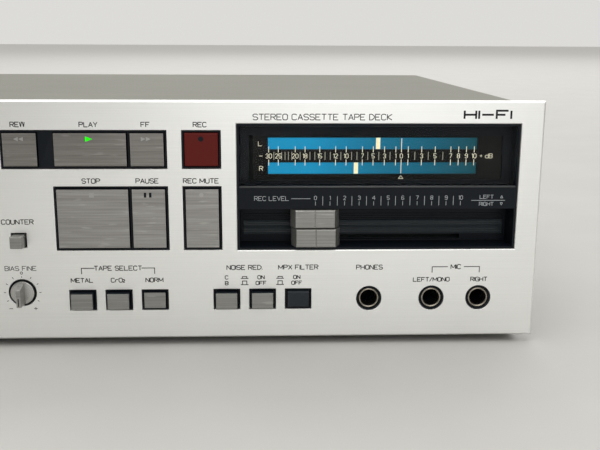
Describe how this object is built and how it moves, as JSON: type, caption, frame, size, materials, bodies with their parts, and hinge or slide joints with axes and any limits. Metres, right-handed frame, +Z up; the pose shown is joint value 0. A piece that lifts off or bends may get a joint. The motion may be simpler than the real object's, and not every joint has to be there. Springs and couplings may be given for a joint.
{
  "type": "cassette deck",
  "caption": "Front-loading stereo cassette deck with brushed face plate, transport keys, level slides, lit meter, push switches, sockets and a tilting cassette door.",
  "frame": {"origin": "centre of the deck's footprint, on the surface that its feet stand on", "axes": "+X to the right along the front panel, +Y from the front panel to the rear, +Z up"},
  "size_m": [0.43, 0.2878, 0.1032],
  "materials": {
    "brushed_aluminium": "horizontal brushed grain, satin",
    "key_metal": "darker brushed caps",
    "record_red": "dark red, satin gloss",
    "dark_cap": "dark slate cap",
    "cover_paint": "semi-matt grey-olive paint",
    "black_plastic": "moulded black plastic",
    "clear_glass": "clear window",
    "smoked_glass": "smoked window",
    "meter_light": "blue-green lit diffuser",
    "pointer_cream": "pale yellow flag",
    "zinc_steel": "zinc-plated sheet steel",
    "polished_steel": "turned and polished",
    "socket_metal": "nickel grown dull",
    "circuit_board": "phenolic board",
    "iron_core": "varnished laminations",
    "rubber_black": "matt rubber",
    "wheel_white": "white number wheels",
    "spindle_grey": "grey acetal"
  },
  "bodies": {
    "chassis": {"front_panel": "brushed_aluminium", "front_subframe": "black_plastic", "meter_bezel": "black_plastic", "meter_window": "clear_glass", "meter_body": "meter_light", "meter_scale": "black_plastic", "level_slide_pots": "zinc_steel", "phones_jack": "socket_metal", "mic_left_jack": "socket_metal", "mic_right_jack": "socket_metal", "top_cover": "cover_paint", "chassis_tray": "zinc_steel", "rear_panel": "zinc_steel", "foot_front_left": "rubber_black", "foot_front_right": "rubber_black", "foot_rear_left": "rubber_black", "foot_rear_right": "rubber_black", "main_board": "circuit_board", "front_board": "circuit_board", "push_switch_bank": "zinc_steel", "power_transformer": "iron_core", "transport_plate": "zinc_steel", "capstan_motor": "polished_steel", "drive_belt": "rubber_black", "line_socket_block": "black_plastic", "mains_inlet": "black_plastic", "counter_frame": "black_plastic"},
    "door": {"cassette_door": "brushed_aluminium", "door_window": "smoked_glass", "cassette_holder": "black_plastic"},
    "rew_key": {"rew_key": "key_metal"},
    "play_key": {"play_key": "key_metal"},
    "ff_key": {"ff_key": "key_metal"},
    "stop_key": {"stop_key": "key_metal"},
    "pause_key": {"pause_key": "key_metal"},
    "rec_key": {"rec_key": "record_red"},
    "rec_mute_key": {"rec_mute_key": "key_metal"},
    "eject_button": {"eject_button": "key_metal"},
    "power_button": {"power_button": "key_metal"},
    "counter_reset_button": {"counter_reset_button": "key_metal"},
    "metal_tape_button": {"metal_tape_button": "key_metal"},
    "chrome_tape_button": {"chrome_tape_button": "key_metal"},
    "normal_tape_button": {"normal_tape_button": "key_metal"},
    "nr_type_button": {"nr_type_button": "key_metal"},
    "nr_switch_button": {"nr_switch_button": "key_metal"},
    "mpx_filter_button": {"mpx_filter_button": "dark_cap"},
    "bias_knob": {"bias_knob": "key_metal"},
    "left_level_knob": {"left_level_knob": "key_metal"},
    "right_level_knob": {"right_level_knob": "key_metal"},
    "left_meter_pointer": {"left_meter_pointer": "pointer_cream"},
    "right_meter_pointer": {"right_meter_pointer": "pointer_cream"},
    "supply_spindle": {"supply_spindle": "spindle_grey"},
    "takeup_spindle": {"takeup_spindle": "spindle_grey"},
    "capstan_flywheel": {"capstan_flywheel": "polished_steel"},
    "head_carriage": {"head_carriage": "zinc_steel"},
    "pinch_arm": {"pinch_arm": "zinc_steel"},
    "pinch_roller": {"pinch_roller": "rubber_black"},
    "counter_hundreds_wheel": {"counter_hundreds_wheel": "wheel_white"},
    "counter_tens_wheel": {"counter_tens_wheel": "wheel_white"},
    "counter_units_wheel": {"counter_units_wheel": "wheel_white"}
  },
  "joints": [
    {"name": "door_hinge", "type": "hinge", "parent": "chassis", "child": "door", "pos_m": [-0.118, -0.1307, 0.0252], "axis": [1, 0, 0], "range_deg": [0, 18]},
    {"name": "rew_press", "type": "slide", "parent": "chassis", "child": "rew_key", "axis": [0, 1, 0], "range_m": [0, 0.001], "stiffness_N_per_m": 400, "springref_m": -0.0015},
    {"name": "play_press", "type": "slide", "parent": "chassis", "child": "play_key", "axis": [0, 1, 0], "range_m": [0, 0.001], "stiffness_N_per_m": 400, "springref_m": -0.0015},
    {"name": "ff_press", "type": "slide", "parent": "chassis", "child": "ff_key", "axis": [0, 1, 0], "range_m": [0, 0.001], "stiffness_N_per_m": 400, "springref_m": -0.0015},
    {"name": "stop_press", "type": "slide", "parent": "chassis", "child": "stop_key", "axis": [0, 1, 0], "range_m": [0, 0.001], "stiffness_N_per_m": 400, "springref_m": -0.0015},
    {"name": "pause_press", "type": "slide", "parent": "chassis", "child": "pause_key", "axis": [0, 1, 0], "range_m": [0, 0.001], "stiffness_N_per_m": 400, "springref_m": -0.0015},
    {"name": "rec_press", "type": "slide", "parent": "chassis", "child": "rec_key", "axis": [0, 1, 0], "range_m": [0, 0.001], "stiffness_N_per_m": 400, "springref_m": -0.0015},
    {"name": "rec_mute_press", "type": "slide", "parent": "chassis", "child": "rec_mute_key", "axis": [0, 1, 0], "range_m": [0, 0.001], "stiffness_N_per_m": 400, "springref_m": -0.0015},
    {"name": "eject_press", "type": "slide", "parent": "chassis", "child": "eject_button", "axis": [0, 1, 0], "range_m": [0, 0.001], "stiffness_N_per_m": 400, "springref_m": -0.0015},
    {"name": "power_press", "type": "slide", "parent": "chassis", "child": "power_button", "axis": [0, 1, 0], "range_m": [0, 0.003]},
    {"name": "counter_reset_press", "type": "slide", "parent": "chassis", "child": "counter_reset_button", "axis": [0, 1, 0], "range_m": [0, 0.002], "stiffness_N_per_m": 400, "springref_m": -0.0015},
    {"name": "metal_tape_latch", "type": "slide", "parent": "chassis", "child": "metal_tape_button", "axis": [0, 1, 0], "range_m": [0, 0.0025]},
    {"name": "chrome_tape_latch", "type": "slide", "parent": "chassis", "child": "chrome_tape_button", "axis": [0, 1, 0], "range_m": [0, 0.0025]},
    {"name": "normal_tape_latch", "type": "slide", "parent": "chassis", "child": "normal_tape_button", "axis": [0, 1, 0], "range_m": [-0.0019, 0.0006]},
    {"name": "nr_type_latch", "type": "slide", "parent": "chassis", "child": "nr_type_button", "axis": [0, 1, 0], "range_m": [0, 0.0025]},
    {"name": "nr_switch_latch", "type": "slide", "parent": "chassis", "child": "nr_switch_button", "axis": [0, 1, 0], "range_m": [0, 0.0025]},
    {"name": "mpx_filter_latch", "type": "slide", "parent": "chassis", "child": "mpx_filter_button", "axis": [0, 1, 0], "range_m": [-0.0019, 0.0006]},
    {"name": "bias_turn", "type": "hinge", "parent": "chassis", "child": "bias_knob", "pos_m": [-0.0005, -0.1369, 0.0236], "axis": [0, -1, 0], "range_deg": [-140, 140]},
    {"name": "left_level_slide", "type": "slide", "parent": "chassis", "child": "left_level_knob", "axis": [1, 0, 0], "range_m": [0, 0.06]},
    {"name": "right_level_slide", "type": "slide", "parent": "chassis", "child": "right_level_knob", "axis": [1, 0, 0], "range_m": [-0.0004, 0.0596]},
    {"name": "left_meter_travel", "type": "slide", "parent": "chassis", "child": "left_meter_pointer", "axis": [1, 0, 0], "range_m": [-0.0454, 0.0406]},
    {"name": "right_meter_travel", "type": "slide", "parent": "chassis", "child": "right_meter_pointer", "axis": [1, 0, 0], "range_m": [-0.0362, 0.0498]},
    {"name": "supply_turn", "type": "hinge", "parent": "chassis", "child": "supply_spindle", "pos_m": [-0.13925, -0.1165, 0.0579], "axis": [0, 1, 0], "continuous": true},
    {"name": "takeup_turn", "type": "hinge", "parent": "chassis", "child": "takeup_spindle", "pos_m": [-0.09675, -0.1165, 0.0579], "axis": [0, 1, 0], "continuous": true},
    {"name": "capstan_turn", "type": "hinge", "parent": "chassis", "child": "capstan_flywheel", "pos_m": [-0.0934, -0.1029, 0.0287], "axis": [0, 1, 0], "continuous": true},
    {"name": "head_engage", "type": "slide", "parent": "chassis", "child": "head_carriage", "axis": [0, 0, 1], "range_m": [0, 0.0065], "stiffness_N_per_m": 300, "springref_m": -0.002},
    {"name": "pinch_swing", "type": "hinge", "parent": "chassis", "child": "pinch_arm", "pos_m": [-0.078, -0.1185, 0.0122], "axis": [0, 1, 0], "range_deg": [0, 22]},
    {"name": "pinch_roll", "type": "hinge", "parent": "pinch_arm", "child": "pinch_roller", "pos_m": [-0.0934, -0.1209, 0.0157], "axis": [0, 1, 0], "continuous": true},
    {"name": "counter_hundreds_turn", "type": "hinge", "parent": "chassis", "child": "counter_hundreds_wheel", "pos_m": [-0.0335, -0.1244, 0.046], "axis": [1, 0, 0], "continuous": true},
    {"name": "counter_tens_turn", "type": "hinge", "parent": "chassis", "child": "counter_tens_wheel", "pos_m": [-0.027, -0.1244, 0.046], "axis": [1, 0, 0], "continuous": true},
    {"name": "counter_units_turn", "type": "hinge", "parent": "chassis", "child": "counter_units_wheel", "pos_m": [-0.0205, -0.1244, 0.046], "axis": [1, 0, 0], "continuous": true}
  ],
  "couplings": [
    {"joint": "counter_units_turn", "follows": "takeup_turn", "ratio": 0.05},
    {"joint": "counter_tens_turn", "follows": "takeup_turn", "ratio": 0.005},
    {"joint": "counter_hundreds_turn", "follows": "takeup_turn", "ratio": 0.0005},
    {"joint": "pinch_swing", "follows": "head_engage", "rad_per_m": 59.073}
  ]
}
